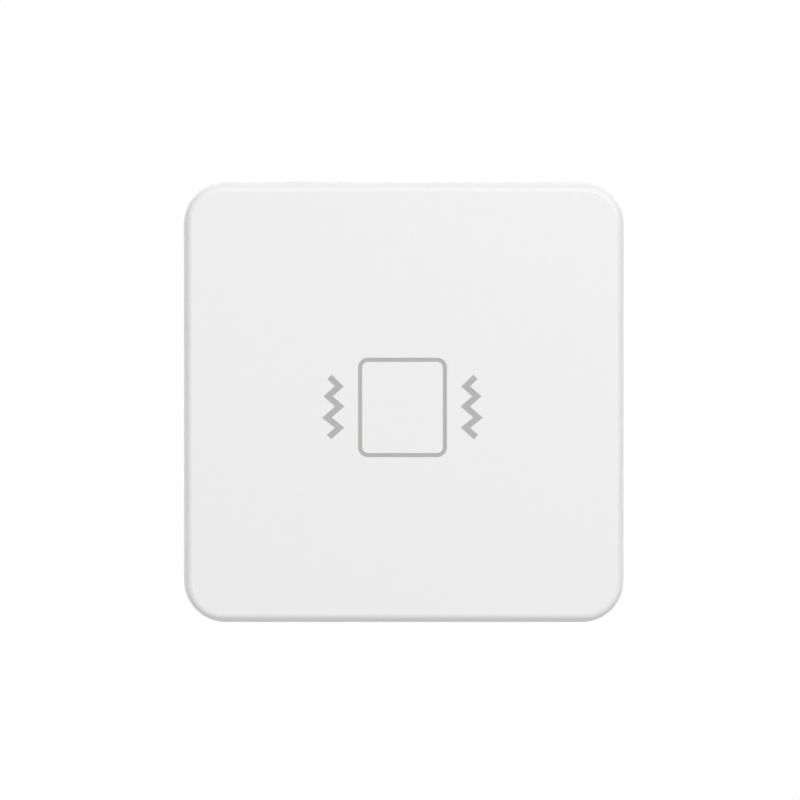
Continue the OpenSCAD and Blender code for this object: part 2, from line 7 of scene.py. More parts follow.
# %% Load the parts
import math
from contextlib import contextmanager
import bmesh
import bpy
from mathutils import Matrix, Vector


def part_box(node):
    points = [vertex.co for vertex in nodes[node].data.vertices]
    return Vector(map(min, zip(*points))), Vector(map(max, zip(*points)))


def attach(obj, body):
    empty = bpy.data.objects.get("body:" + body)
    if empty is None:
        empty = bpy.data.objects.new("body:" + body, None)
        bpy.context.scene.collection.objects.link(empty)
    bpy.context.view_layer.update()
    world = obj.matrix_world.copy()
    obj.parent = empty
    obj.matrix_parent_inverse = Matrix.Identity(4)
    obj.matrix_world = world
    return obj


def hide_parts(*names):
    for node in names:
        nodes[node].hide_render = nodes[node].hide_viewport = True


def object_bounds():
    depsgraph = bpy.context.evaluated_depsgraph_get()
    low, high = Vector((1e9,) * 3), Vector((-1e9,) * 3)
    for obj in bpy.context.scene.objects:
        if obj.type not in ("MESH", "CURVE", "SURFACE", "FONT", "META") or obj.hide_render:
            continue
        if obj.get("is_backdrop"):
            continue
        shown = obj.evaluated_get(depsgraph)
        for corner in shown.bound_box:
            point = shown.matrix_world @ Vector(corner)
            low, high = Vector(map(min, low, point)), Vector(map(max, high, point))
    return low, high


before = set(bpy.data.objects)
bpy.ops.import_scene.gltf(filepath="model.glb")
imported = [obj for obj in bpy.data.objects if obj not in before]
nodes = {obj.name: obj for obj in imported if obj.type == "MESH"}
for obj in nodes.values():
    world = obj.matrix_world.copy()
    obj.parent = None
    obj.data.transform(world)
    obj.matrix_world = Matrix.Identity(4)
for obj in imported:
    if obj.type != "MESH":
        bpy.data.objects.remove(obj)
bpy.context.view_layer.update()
MM = 0.001

# %% [markdown]
# ## Camera
# The photograph looks straight at the front from about 30 cm, a touch above the middle, so that a thin
# band of every side shows and the top one is the widest. A long lens at that distance keeps the
# bands as narrow as they are. The tag sits a few pixels right of and below the picture's middle:
# moving the camera sideways by that much frames it, so the lens needs no shift.

# %% Place the camera
SENSOR = 36 * MM
camera_far = 310 * MM
view_w = 65.29 * MM
outline_y = -3 * MM
tag_off = Vector((0.31 * MM, 0, -0.17 * MM))
camera_up = math.radians(0.65)
camera_round = math.radians(0.1)

aim = Vector((0, outline_y, 0)) - tag_off
reach = camera_far + outline_y
away = Vector((math.sin(camera_round), -math.cos(camera_round) * math.cos(camera_up), math.sin(camera_up)))
bpy.ops.object.select_all(action="DESELECT")
bpy.ops.object.camera_add(location=aim + away * reach)
camera = bpy.context.object
camera.rotation_euler = (-away).to_track_quat("-Z", "Y").to_euler()
camera.data.sensor_width = SENSOR / MM
camera.data.lens = SENSOR / MM * reach / view_w
camera.data.clip_start = 10 * MM
bpy.context.scene.camera = camera
print("lens in mm:", round(camera.data.lens, 1))

# %% [markdown]
# ## A way to write materials
# A shader is a graph of nodes. Written as plain Python sums it reads like a recipe, so one small class
# wraps an output socket and turns + - and * into Math nodes. A second one adds nodes to any graph,
# and a third owns a material and its main shader. Patterns read Object coordinates: every piece
# sits at the origin with its place in its mesh, so they are places on the tag in metres.

# %% Numbers in a shader
class Value:
    """One number on its way through a shader: arithmetic on it adds Math nodes."""

    def __init__(self, graph, socket):
        self.graph = graph
        self.socket = socket

    def __add__(self, other):
        return self.graph.math("ADD", self, other)

    def __radd__(self, other):
        return self.graph.math("ADD", other, self)

    def __sub__(self, other):
        return self.graph.math("SUBTRACT", self, other)

    def __rsub__(self, other):
        return self.graph.math("SUBTRACT", other, self)

    def __mul__(self, other):
        return self.graph.math("MULTIPLY", self, other)

    def __rmul__(self, other):
        return self.graph.math("MULTIPLY", other, self)

    def __abs__(self):
        return self.graph.math("ABSOLUTE", self)


# %% Nodes of a graph
class Graph:
    """A node tree: add() makes any node, sets it up and returns one of its outputs."""

    def __init__(self, tree):
        self.tree = tree

    def put(self, socket, value):
        """Links a value to a socket, or sets a plain number or colour on it."""
        if isinstance(value, Value):
            self.tree.links.new(value.socket, socket)
        else:
            socket.default_value = value

    def add(self, kind, settings=None, inputs=None, out=0):
        node = self.tree.nodes.new(kind)
        for key, value in (settings or {}).items():
            setattr(node, key, value)
        for key, value in (inputs or {}).items():
            self.put(node.inputs[key], value)
        return Value(self, node.outputs[out])

    def math(self, operation, *numbers):
        """A Math node on numbers, values among them."""
        return self.add("ShaderNodeMath", {"operation": operation}, dict(enumerate(numbers)))

    def split(self, vector):
        """The three numbers of a vector."""
        node = self.add("ShaderNodeSeparateXYZ", None, {0: vector}).socket.node
        return [Value(self, socket) for socket in node.outputs]

    def smooth(self, value, low, high):
        """0 below low, 1 above high, with a soft step between."""
        settings = {"interpolation_type": "SMOOTHSTEP"}
        return self.add("ShaderNodeMapRange", settings, {"Value": value, "From Min": low, "From Max": high})

    def ray(self, kind):
        """1 for rays of a kind, such as those from the camera, and 0 for the rest."""
        return self.add("ShaderNodeLightPath", out="Is %s Ray" % kind)

    def looked_at(self):
        """1 where the camera looks, straight, in a reflection or through something clear."""
        rays = self.ray("Camera") + self.ray("Glossy") + self.ray("Transmission")
        return self.math("MINIMUM", rays, 1)


# %% A material
class Finish(Graph):
    """A material with its main shader."""

    def __init__(self, name, **plain):
        self.material = bpy.data.materials.new(name)
        self.material.use_nodes = True
        super().__init__(self.material.node_tree)
        self.shader = self.tree.nodes["Principled BSDF"]
        self.feed(**plain)

    def feed(self, **links):
        """Puts values on the main shader's sockets, whose names have _ here for each space."""
        for key, value in links.items():
            self.put(self.shader.inputs[key.replace("_", " ")], value)

    def place(self, scale=(1, 1, 1), centre=(0, 0, 0)):
        """Object coordinates about a centre, stretched by scale."""
        here = self.add("ShaderNodeTexCoord", out="Object")
        moved = self.add("ShaderNodeVectorMath", {"operation": "SUBTRACT"}, {0: here, 1: centre})
        return self.add("ShaderNodeVectorMath", {"operation": "MULTIPLY"}, {0: moved, 1: scale})

    def facing(self):
        """The three numbers of the surface's own normal."""
        return self.split(self.add("ShaderNodeTexCoord", out="Normal"))

    def noise(self, size, vector=None, detail=2.0):
        """Soft noise from 0 to 1 whose blotches are about size metres across."""
        where = vector or self.place()
        return self.add("ShaderNodeTexNoise", None, {"Vector": where, "Scale": 1 / size, "Detail": detail})

    def blend(self, share, first, second):
        """Colour that goes from first to second with share."""
        return self.add("ShaderNodeMix", {"data_type": "RGBA"}, {0: share, 6: first, 7: second}, out=2)

    def bump(self, height, depth, strength=1.0):
        """Feeds a surface height, 0 to 1 over depth metres, to the shader's normal."""
        inputs = {"Height": height, "Distance": depth, "Strength": strength}
        self.feed(Normal=self.add("ShaderNodeBump", None, inputs))


# %% Colours and paint
def grey(level, warm=0.0):
    """Linear grey with an alpha; warm takes a little blue away."""
    return (level, level, level * (1 - warm), 1)


def paint(finish, *names):
    """Gives CAD nodes a finish."""
    for name in names:
        nodes[name].material_slots[0].material = finish
    print(finish.name, "on", ", ".join(names))


# %% [markdown]
# ## Moulded white plastic
# The housing is matt white plastic from a spark-eroded mould, whose fine pits soften every
# reflection. A flat white would look like paper. Two sizes of noise make the pits, and the tint
# moves by a hair so that the white isn't the same everywhere.

# %% White plastic
def make_white_plastic():
    pit_size = 0.11 * MM
    mottle_size = 0.6 * MM
    finish = Finish("white_plastic", IOR=1.5)
    pits = finish.noise(pit_size, detail=1.0)
    mottle = finish.noise(mottle_size)
    tint = pits * 0.5 + mottle * 0.5
    finish.feed(Base_Color=finish.blend(tint, grey(0.852, 0.004), grey(0.882, 0.002)))
    finish.feed(Roughness=0.44 + pits * 0.12)
    finish.bump(pits + mottle * 0.6, depth=0.004 * MM, strength=0.6)
    return finish.material


white_plastic = make_white_plastic()
paint(white_plastic, "front_cover", "pair_button")

# %% [markdown]
# ## Ways of modelling
# Every new piece starts as a primitive and is shaped in edit mode, as by hand. It is drawn as the tag
# lies on its back, X to the right, Y up the wall and Z from the wall to the front, because flat
# things are easiest to draw flat. The last step stands it up, as the CAD model stands.
# Faces, edges and points are selected by a test on their place, since there is no mouse.

# %% Starting a piece and selecting on it
def only(*parts):
    """Selects parts and nothing else, with the first one active."""
    bpy.ops.object.select_all(action="DESELECT")
    for part in parts:
        part.select_set(True)
    bpy.context.view_layer.objects.active = parts[0]


@contextmanager
def shaping(name, add, **how):
    """Adds a primitive with nothing else selected and keeps it open for editing."""
    bpy.ops.object.select_all(action="DESELECT")
    add(**how)
    piece = bpy.context.object
    piece.name = name
    bpy.ops.object.transform_apply(location=True, rotation=True, scale=True)
    bpy.ops.object.mode_set(mode="EDIT")
    bpy.ops.mesh.select_all(action="SELECT")
    yield piece
    bpy.ops.object.mode_set(mode="OBJECT")


def pick(test, kind="FACE", sharp=0):
    """Selects the faces, points or edges, these bent by more than sharp, whose middle passes a test."""
    bpy.ops.mesh.select_mode(type=kind)
    bpy.ops.mesh.select_all(action="DESELECT")
    mesh = bmesh.from_edit_mesh(bpy.context.object.data)
    for part in {"FACE": mesh.faces, "EDGE": mesh.edges, "VERT": mesh.verts}[kind]:
        points = [part] if kind == "VERT" else part.verts
        chosen = test(sum((p.co for p in points), Vector()) / len(points))
        part.select_set(chosen and (not sharp or part.calc_face_angle(0) > sharp))
    mesh.select_flush_mode()
    bmesh.update_edit_mesh(bpy.context.object.data)


def raise_by(height):
    """Extrudes what is selected along Z and leaves the far end selected."""
    bpy.ops.mesh.extrude_region_move(TRANSFORM_OT_translate={"value": (0, 0, height)})


# %% Cleaning a piece and standing it up
WELD = 0.0005 * MM


def weld():
    """Merges points that coincide and drops faces without area, in edit mode."""
    bpy.ops.mesh.select_all(action="SELECT")
    bpy.ops.mesh.remove_doubles(threshold=WELD)
    bpy.ops.mesh.dissolve_degenerate(threshold=WELD)
    bpy.ops.mesh.select_all(action="SELECT")


def stand_up(name, *parts, smooth_under=30):
    """Joins parts drawn lying down into one clean piece and stands it up."""
    piece = parts[0]
    only(*parts)
    if len(parts) > 1:
        bpy.ops.object.join()
    piece.name = piece.data.name = name
    bpy.ops.object.mode_set(mode="EDIT")
    weld()
    bpy.ops.mesh.normals_make_consistent(inside=False)
    bpy.ops.object.mode_set(mode="OBJECT")
    piece.rotation_euler.x = math.pi / 2
    bpy.ops.object.transform_apply(location=False, rotation=True, scale=False)
    bpy.ops.object.shade_smooth_by_angle(angle=math.radians(smooth_under))
    return piece


# %% Handing a piece over
def hand_over(piece, finish, body, stands_for=()):
    """Gives a finished piece its material and its body, and hides the CAD nodes it stands for."""
    piece.data.materials.clear()
    piece.data.materials.append(finish)
    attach(piece, body)
    if stands_for:
        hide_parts(*stands_for)
    size = [round(v / MM, 2) for v in piece.dimensions]
    print(piece.name, "on", body, "size in mm", size, "with", len(piece.data.polygons), "faces")


# %% Reading a place off the CAD model
def lying(name):
    """Lowest and highest corner of a CAD node as the tag lies on its back."""
    low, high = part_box(name)
    return Vector((low.x, low.z, -high.y)), Vector((high.x, high.z, -low.y))


# %% [markdown]
# ## Outlines and strokes
# Prints, tracks and signs are made of two things: closed outlines with round corners, and lines that
# bend. An outline is a plane with bevelled corners, inset by the line's width, its middle
# deleted. A stroke is a strip of quads whose rows move to the line's bends: each pair of points lies on
# the line that halves the bend, so that the stroke keeps its width, and the ends stay square.

# %% Helpers for outlines and strokes
CORNER_STEPS = 8


def add_outline(middle, size, line, corner, low, rise):
    """Rounded frame of a line's width, from height low and rise thick."""
    with shaping("outline", bpy.ops.mesh.primitive_plane_add, size=1) as outline:
        bpy.ops.transform.resize(value=(*size, 1))
        bpy.ops.transform.translate(value=(*middle, low))
        bpy.ops.mesh.bevel(offset=corner, segments=CORNER_STEPS, affect="VERTICES")
        bpy.ops.mesh.select_all(action="SELECT")
        bpy.ops.mesh.inset(thickness=line)
        bpy.ops.mesh.delete(type="FACE")
        bpy.ops.mesh.select_all(action="SELECT")
        raise_by(rise)
    return outline


def stroke_edges(points, width):
    """Left and right edge point at each bend of a line."""
    edges = []
    for i, point in enumerate(points):
        before = (point - points[max(i - 1, 0)]).normalized()
        after = (points[min(i + 1, len(points) - 1)] - point).normalized()
        along = (before + after).normalized()
        side = Vector((-along.y, along.x)) * (width / 2)
        stretch = 1 / along.dot(after if after.length else before)
        edges.append((point + side * stretch, point - side * stretch))
    return edges


def add_stroke(points, width, low, rise):
    """Bent strip of a line's width, from height low and rise thick."""
    rows = len(points) - 1
    near = 0.1 / rows
    add = bpy.ops.mesh.primitive_grid_add
    with shaping("stroke", add, x_subdivisions=1, y_subdivisions=rows, size=1) as stroke:
        for row, edge in enumerate(stroke_edges([Vector(p) for p in points], width)):
            for side, place in zip((-0.5, 0.5), edge):
                at = Vector((side, row / rows - 0.5, 0))
                pick(lambda p: (p - at).length < near, "VERT")
                bpy.ops.transform.translate(value=(place.x - at.x, place.y - at.y, low))
        bpy.ops.mesh.select_all(action="SELECT")
        raise_by(rise)
    return stroke


# %% [markdown]
# ## Printed sign
# The front carries the common sign for vibration in pale grey ink: an upright frame with a zigzag on each
# side. It is pad-printed, a layer about a hundredth of a millimetre thick. A texture
# would do, but a thin solid layer keeps its edge sharp at any distance and leaves the
# plastic's own grain alone. It starts just inside the wall, so the two surfaces don't fight.

# %% Ink
def make_ink():
    cloud_size = 0.8 * MM
    grain_size = 0.12 * MM
    finish = Finish("sign_ink", IOR=1.5)
    cloud = finish.noise(cloud_size)
    grain = finish.noise(grain_size, detail=1.0)
    finish.feed(Base_Color=finish.blend(cloud * 0.6 + grain * 0.4, grey(0.436, 0.004), grey(0.466, 0.002)))
    finish.feed(Roughness=0.46 + grain * 0.1)
    finish.bump(grain, depth=0.003 * MM, strength=0.5)
    return finish.material


# %% Sign
face = lying("front_cover")[1].z
ink_sink = 0.01 * MM
ink_out = 0.012 * MM
ink_low = face - ink_sink
ink_rise = ink_sink + ink_out
sign_mid = Vector((-0.098 * MM, -0.348 * MM))
sign_size = (7.097 * MM, 7.937 * MM)
sign_line = 0.322 * MM
sign_corner = 0.78 * MM
zigzag_line = 0.486 * MM
# Bends of a zigzag's middle line in mm from the sign's middle: how far out, and how far up
zigzag = (
    (5.83, 2.44), (5.06, 1.68), (5.95, 0.89), (5.02, 0.08),
    (6.04, -0.82), (5.03, -1.62), (5.87, -2.37),
)

sign_parts = [add_outline(sign_mid, sign_size, sign_line, sign_corner, ink_low, ink_rise)]
for side in (-1, 1):
    line = [(sign_mid.x + side * x * MM, sign_mid.y + y * MM) for x, y in zigzag]
    sign_parts.append(add_stroke(line, zigzag_line, ink_low, ink_rise))
printed_sign = stand_up("printed_sign", *sign_parts)
hand_over(printed_sign, make_ink(), "sensor")

# %% [markdown]
# ## Foam pad
# The tag hangs on a square of closed-cell foam with a film of glue on both faces. The glue
# holds the faces flat, while the foam between them draws in a little at the sides. So the pad is
# extruded in steps, and the middle rings are drawn in. The pores are too small to model, so they are
# a bump on the sides, and the film is smoother than the foam.

# %% Foam
def make_foam():
    pore_size = 0.09 * MM
    finish = Finish("adhesive_foam", IOR=1.45)
    toward_wall = abs(finish.facing()[1])
    film = finish.smooth(toward_wall, low=0.55, high=0.8)
    pores = finish.add("ShaderNodeTexVoronoi", None, {"Vector": finish.place(), "Scale": 1 / pore_size})
    cloud = finish.noise(size=0.9 * MM, detail=4.0)
    foam = finish.blend(pores, grey(0.44), grey(0.66))
    glue = finish.blend(cloud * 0.5 + pores * 0.5, grey(0.59), grey(0.68, 0.01))
    finish.feed(Base_Color=finish.blend(film, foam, glue))
    finish.feed(Roughness=0.85 - film * (0.4 + cloud * 0.15))
    finish.bump(pores * (1 - film * 0.85), depth=0.03 * MM)
    return finish.material


# %% Pad
pad_low, pad_high = lying("adhesive_pad")
pad_w = pad_high.x - pad_low.x
pad_corner = 3 * MM
pad_draw_in = 0.09 * MM
film_edge = 0.03 * MM
corner_steps = 12
# Layers of the pad: how thick, and whether its far end draws in (1) or comes out again (-1)
pad_layers = ((0.08 * MM, 0), (0.12 * MM, 1), (0.3 * MM, 0), (0.12 * MM, -1), (0.08 * MM, 0))
with shaping("pad", bpy.ops.mesh.primitive_plane_add, size=pad_w, location=(0, 0, pad_low.z)) as pad:
    bpy.ops.mesh.bevel(offset=pad_corner, segments=corner_steps, affect="VERTICES")
    bpy.ops.mesh.select_all(action="SELECT")
    half = pad_w / 2
    for rise, draw in pad_layers:
        raise_by(rise)
        share = (half - draw * pad_draw_in) / half
        bpy.ops.transform.resize(value=(share, share, 1), center_override=(0, 0, 0))
        half *= share
    pick(lambda p: p.z < pad_low.z + WELD or p.z > pad_high.z - WELD, "FACE")
    bpy.ops.mesh.region_to_loop()
    bpy.ops.mesh.bevel(offset=film_edge, segments=2)
foam_pad = stand_up("foam_pad", pad)
hand_over(foam_pad, make_foam(), "base", ["adhesive_pad"])

# %% [markdown]
# ## Coin cell
# A coin cell is drawn from bright steel sheet and turned while it is polished, so its scratches run in
# circles about its middle. Noise that reads only the distance from the middle gives such rings. A
# shallow groove near the can's edge is too fine for geometry and stays a bump. The can's rear face is the
# positive pole and carries a stamped plus, which is a piece of its own.

# %% Turned steel and seal
def make_turned_steel(middle):
    line_size = 0.03 * MM
    groove_r = 8.75 * MM
    groove_w = 0.12 * MM
    finish = Finish("cell_steel", Metallic=1.0)
    x, y, z = finish.split(finish.place(centre=middle))
    radius = finish.math("SQRT", x * x + z * z)
    across = finish.add("ShaderNodeCombineXYZ", None, {"X": radius, "Y": y})
    rings = finish.noise(line_size, across, detail=3.0)
    smear = finish.noise(size=3 * MM)
    finish.feed(Base_Color=finish.blend(rings * 0.6 + smear * 0.4, grey(0.60, 0.02), grey(0.80, 0.015)))
    finish.feed(Roughness=0.2 + rings * 0.12 + smear * 0.12)
    groove = finish.smooth(abs(radius - groove_r), 0, groove_w)
    finish.bump(groove + rings * 0.05, depth=0.03 * MM, strength=0.7)
    return finish.material


def make_seal():
    finish = Finish("seal_plastic", IOR=1.48)
    cloud = finish.noise(size=0.4 * MM)
    finish.feed(Base_Color=finish.blend(cloud, grey(0.08), grey(0.14)))
    finish.feed(Roughness=0.5 + cloud * 0.2)
    finish.bump(cloud, depth=0.006 * MM)
    return finish.material


cell_low, cell_high = lying("cell_can")
cell_mid = (cell_low + cell_high) / 2
cell_steel = make_turned_steel((cell_mid.x, -cell_mid.z, cell_mid.y))
paint(cell_steel, "cell_can", "cell_cap")
paint(make_seal(), "cell_seal")

# %% Plus on the cell
plus_w = 2.6 * MM
plus_line = 0.6 * MM
plus_off = 7 * MM
plus_x = cell_mid.x - plus_off
plus_rise = 0.07 * MM
plus_sink = 0.01 * MM
plus_edge = 0.03 * MM
plus_at = (plus_x, cell_mid.y, cell_low.z + plus_sink)
grid = bpy.ops.mesh.primitive_grid_add
with shaping("plus", grid, x_subdivisions=3, y_subdivisions=3, size=plus_w, location=plus_at) as plus:
    inner = plus_w / 4
    squeeze = plus_line / (plus_w / 3)
    pick(lambda p: abs(p.x - plus_x) < inner, "VERT")
    bpy.ops.transform.resize(value=(squeeze, 1, 1), center_override=plus_at)
    pick(lambda p: abs(p.y - cell_mid.y) < inner, "VERT")
    bpy.ops.transform.resize(value=(1, squeeze, 1), center_override=plus_at)
    pick(lambda p: min(abs(p.x - plus_x), abs(p.y - cell_mid.y)) > plus_line / 2)
    bpy.ops.mesh.delete(type="FACE")
    bpy.ops.mesh.select_all(action="SELECT")
    raise_by(-plus_rise)
    bpy.ops.mesh.region_to_loop()
    bpy.ops.mesh.bevel(offset=plus_edge, segments=2)
hand_over(stand_up("cell_plus", plus), cell_steel, "coin_cell")

# %% [markdown]
# ## Circuit board
# The board is woven glass in resin under green lacquer. The weave shows through as a faint grid, and the
# cut edge is bare and straw-coloured with thin lines of glass. One material does both: the surface's
# own normal tells face from edge.

# %% Lacquered board
def make_board():
    weave_pitch = 0.45 * MM
    ply_pitch = 0.11 * MM
    finish = Finish("board_mask", IOR=1.52)
    on_face = finish.smooth(abs(finish.facing()[1]), low=0.4, high=0.6)
    x, y, z = finish.split(finish.place())
    turns = 2 * math.pi / weave_pitch
    warp = finish.math("SINE", x * turns)
    weft = finish.math("SINE", z * turns)
    weave = 0.5 + warp * weft * 0.5
    cloud = finish.noise(size=2.5 * MM)
    green = finish.blend(weave * 0.35 + cloud * 0.65, (0.012, 0.105, 0.052, 1), (0.022, 0.165, 0.085, 1))
    ply = finish.math("SINE", y * (2 * math.pi / ply_pitch))
    straw = finish.blend(0.5 + ply * 0.3 + cloud * 0.2, (0.30, 0.25, 0.11, 1), (0.46, 0.41, 0.22, 1))
    finish.feed(Base_Color=finish.blend(on_face, straw, green))
    finish.feed(Roughness=0.7 - on_face * 0.38 + cloud * 0.08)
    finish.bump(weave * on_face, depth=0.006 * MM, strength=0.6)
    return finish.material


paint(make_board(), "circuit_board")

# %% [markdown]
# ## Tracks, pads and print on the board
# Copper tracks run under the lacquer and lift it a little, so they are low strokes in a lighter green.
# Round test pads are bare and gold-plated, and vias are small rings. White print outlines the
# cell, the switch and the capacitor, as boards show where each part goes. All of it lies
# on the rear, which comes into view when the tag is pulled off its rear cover.

# %% Finishes of the board's surface
def make_track_lacquer():
    finish = Finish("track_lacquer", IOR=1.52)
    cloud = finish.noise(size=1.2 * MM)
    finish.feed(Base_Color=finish.blend(cloud, (0.030, 0.215, 0.110, 1), (0.044, 0.270, 0.145, 1)))
    finish.feed(Roughness=0.28 + cloud * 0.12)
    finish.bump(cloud, depth=0.004 * MM)
    return finish.material


def make_gold():
    finish = Finish("gold_plating", Metallic=1.0)
    cloud = finish.noise(size=0.5 * MM)
    grain = finish.noise(size=0.05 * MM)
    finish.feed(Base_Color=finish.blend(cloud, (0.74, 0.53, 0.22, 1), (0.88, 0.69, 0.34, 1)))
    finish.feed(Roughness=0.22 + grain * 0.2)
    finish.bump(grain, depth=0.003 * MM)
    return finish.material


def make_board_print():
    finish = Finish("board_print", IOR=1.5)
    grain = finish.noise(size=0.1 * MM)
    finish.feed(Base_Color=finish.blend(grain, grey(0.62, 0.02), grey(0.80, 0.02)))
    finish.feed(Roughness=0.55 + grain * 0.2)
    finish.bump(grain, depth=0.006 * MM)
    return finish.material


# %% Tracks
board_rear = lying("circuit_board")[0].z
sink = 0.01 * MM
track_w = 0.3 * MM
track_rise = -0.03 * MM
# Bends of each track in mm, right of and above the board's middle
track_lines = (
    ((-12.6, 4.6), (-12.6, 8.4), (-10.4, 10.6), (-10.4, 12.4)),
    ((-10.2, 4.6), (-10.2, 7.6), (-6.8, 11.0), (-4.4, 11.0), (-4.4, 12.6)),
    ((-12.6, 1.1), (-13.2, 1.1), (-14.6, -0.3), (-14.6, -8.6), (-12.2, -11.0), (-7.9, -11.0),
     (-7.0, -11.9)),
    ((-10.2, 1.1), (-7.8, -1.3), (-7.8, -7.4), (-6.8, -8.4)),
    ((-12.6, -2.4), (-12.6, -6.6), (-11.0, -8.2), (-11.0, -9.4)),
    ((-10.2, -2.4), (-10.2, -5.6), (-9.0, -6.8), (-9.0, -8.6)),
    ((-9.2, -14.0), (-2.4, -14.0)),
    ((1.2, 11.9), (-0.4, 13.5), (-3.6, 13.5)),
    ((8.7, 11.9), (10.0, 11.9), (13.2, 8.7), (13.2, 3.5)),
    ((1.2, -11.9), (-3.2, -11.9)),
    ((8.7, -11.9), (9.9, -11.9), (14.2, -7.6), (14.2, -3.7)),
)
strokes = []
for bends in track_lines:
    line = [(x * MM, y * MM) for x, y in bends]
    strokes.append(add_stroke(line, track_w, board_rear + sink, track_rise - sink))
tracks = stand_up("board_tracks", *strokes)
hand_over(tracks, make_track_lacquer(), "sensor")


# %% Test pads and vias
def copy_to(part, places):
    """Copies a finished part, each copy with its own mesh, and moves part and copies to their places."""
    copies = [part]
    while len(copies) < len(places):
        only(part)
        bpy.ops.object.duplicate(linked=False)
        copies.append(bpy.context.object)
    for copy, (x, y) in zip(copies, places):
        only(copy)
        bpy.ops.transform.translate(value=(x * MM, y * MM, 0))
        bpy.ops.object.transform_apply(location=True, rotation=False, scale=False)
    return copies


# Places in mm, right of and above the board's middle
pad_places = [(x, y) for x in (-12.6, -10.2) for y in (4.6, 1.1, -2.4)]
via_places = [
    (-9.0, -8.6), (-6.8, -8.4), (-11.0, -9.4), (-9.2, -14.0), (-2.4, -14.0), (-7.8, 2.6),
    (-3.6, 13.5), (13.2, 3.5), (14.2, -3.7), (-14.6, 9.6), (-14.6, 11.0), (-6.0, 9.2),
    (11.2, 13.9), (9.2, -14.4), (6.4, -14.6), (2.0, 14.4), (5.2, 14.4),
]
# Insets of the rear face in mm, width and rise: a sloped rim, and on a via also its ring and its hole
pad_insets = ((0.05, 0.015),)
via_insets = ((0.05, 0.02), (0.1, 0), (0.02, -0.05))


def add_dot(name, radius, thick, corners, insets):
    """Flat round piece of metal, half sunk in the board's rear, with a stepped face."""
    add = bpy.ops.mesh.primitive_cylinder_add
    at = (0, 0, board_rear)
    with shaping(name, add, vertices=corners, radius=radius, depth=thick, location=at) as dot:
        pick(lambda p: p.z < board_rear - WELD)
        for width, rise in insets:
            bpy.ops.mesh.inset(thickness=width * MM, depth=rise * MM)
    return dot


pad_dot = add_dot("pad", radius=0.62 * MM, thick=0.08 * MM, corners=32, insets=pad_insets)
via_dot = add_dot("via", radius=0.3 * MM, thick=0.07 * MM, corners=16, insets=via_insets)
test_pads = stand_up("test_pads", *copy_to(pad_dot, pad_places), *copy_to(via_dot, via_places))
gold = make_gold()
hand_over(test_pads, gold, "sensor")

# %% Print on the board
print_line = 0.16 * MM
print_corner = 0.3 * MM
print_low = board_rear + sink
print_rise = -0.042 * MM - sink
ring_gap = 0.35 * MM
ring_r = (cell_high.x - cell_low.x) / 2 + ring_gap
# The ring leaves room for the clip's feet above and below and for the cell's stop on the right
feet_room = 1.6 * MM
stop_room = 0.9 * MM
circle = bpy.ops.mesh.primitive_circle_add
at = (cell_mid.x, cell_mid.y, print_low)
with shaping("cell_ring", circle, vertices=128, radius=ring_r, fill_type="NGON", location=at) as cell_ring:
    bpy.ops.mesh.inset(thickness=print_line)
    bpy.ops.mesh.delete(type="FACE")
    pick(lambda p: abs(p.y - cell_mid.y) > ring_r - feet_room or p.x - cell_mid.x > ring_r - stop_room)
    bpy.ops.mesh.delete(type="FACE")
    bpy.ops.mesh.select_all(action="SELECT")
    raise_by(print_rise)
prints = [cell_ring]
for name, room in (("reservoir_capacitor", 0.55 * MM), ("switch_cover", 0.5 * MM)):
    low, high = lying(name)
    middle = (low + high).to_2d() / 2
    size = (high - low).to_2d() + Vector((2 * room, 2 * room))
    prints.append(add_outline(middle, size, print_line, print_corner, print_low, print_rise))
low, high = lying("reservoir_capacitor")
bar_off = 1.1 * MM
bar_x = low.x - bar_off
prints.append(add_stroke([(bar_x, low.y), (bar_x, high.y)], 2 * print_line, print_low, print_rise))
hand_over(stand_up("board_print", *prints), make_board_print(), "sensor")

# %% [markdown]
# ## Solder
# Each foot and tab stands in a small hill of solder that climbs from its pad. The hill is a plane with
# round corners that is inset again and again while it rises: slowly at first and steeply at the foot,
# which gives the hollow slope of melted metal. Its flat top ends up inside the foot, out of sight.

# %% Solder
def make_solder():
    finish = Finish("solder", Metallic=1.0)
    flow = finish.noise(size=0.35 * MM)
    grain = finish.noise(size=0.04 * MM)
    finish.feed(Base_Color=finish.blend(flow, grey(0.58, 0.03), grey(0.74, 0.02)))
    finish.feed(Roughness=0.22 + flow * 0.14 + grain * 0.1)
    finish.bump(flow + grain * 0.2, depth=0.02 * MM, strength=0.6)
    return finish.material


# %% Solder joints
lip = 0.03 * MM
# Slope of a hill from its lip to the foot: shares of its spread and of its height
slope = ((0.4, 0.12), (0.3, 0.28), (0.25, 0.4), (0.15, 0.2))
# The corners are rounder than the slope is wide, in spreads, so that no inset folds over
round_share = 1.2


def add_solder(middle, size, spread, rise):
    """Hill of solder on the board's rear around a foot of a size."""
    with shaping("solder", bpy.ops.mesh.primitive_plane_add, size=1) as hill:
        bpy.ops.transform.resize(value=(size[0] + 2 * spread, size[1] + 2 * spread, 1))
        bpy.ops.transform.translate(value=(*middle, board_rear + sink))
        bpy.ops.mesh.flip_normals()
        bpy.ops.mesh.bevel(offset=round_share * spread, segments=6, affect="VERTICES")
        bpy.ops.mesh.select_all(action="SELECT")
        raise_by(-lip - sink)
        for width, height in slope:
            bpy.ops.mesh.inset(thickness=width * spread, depth=height * (rise - lip))
    return hill


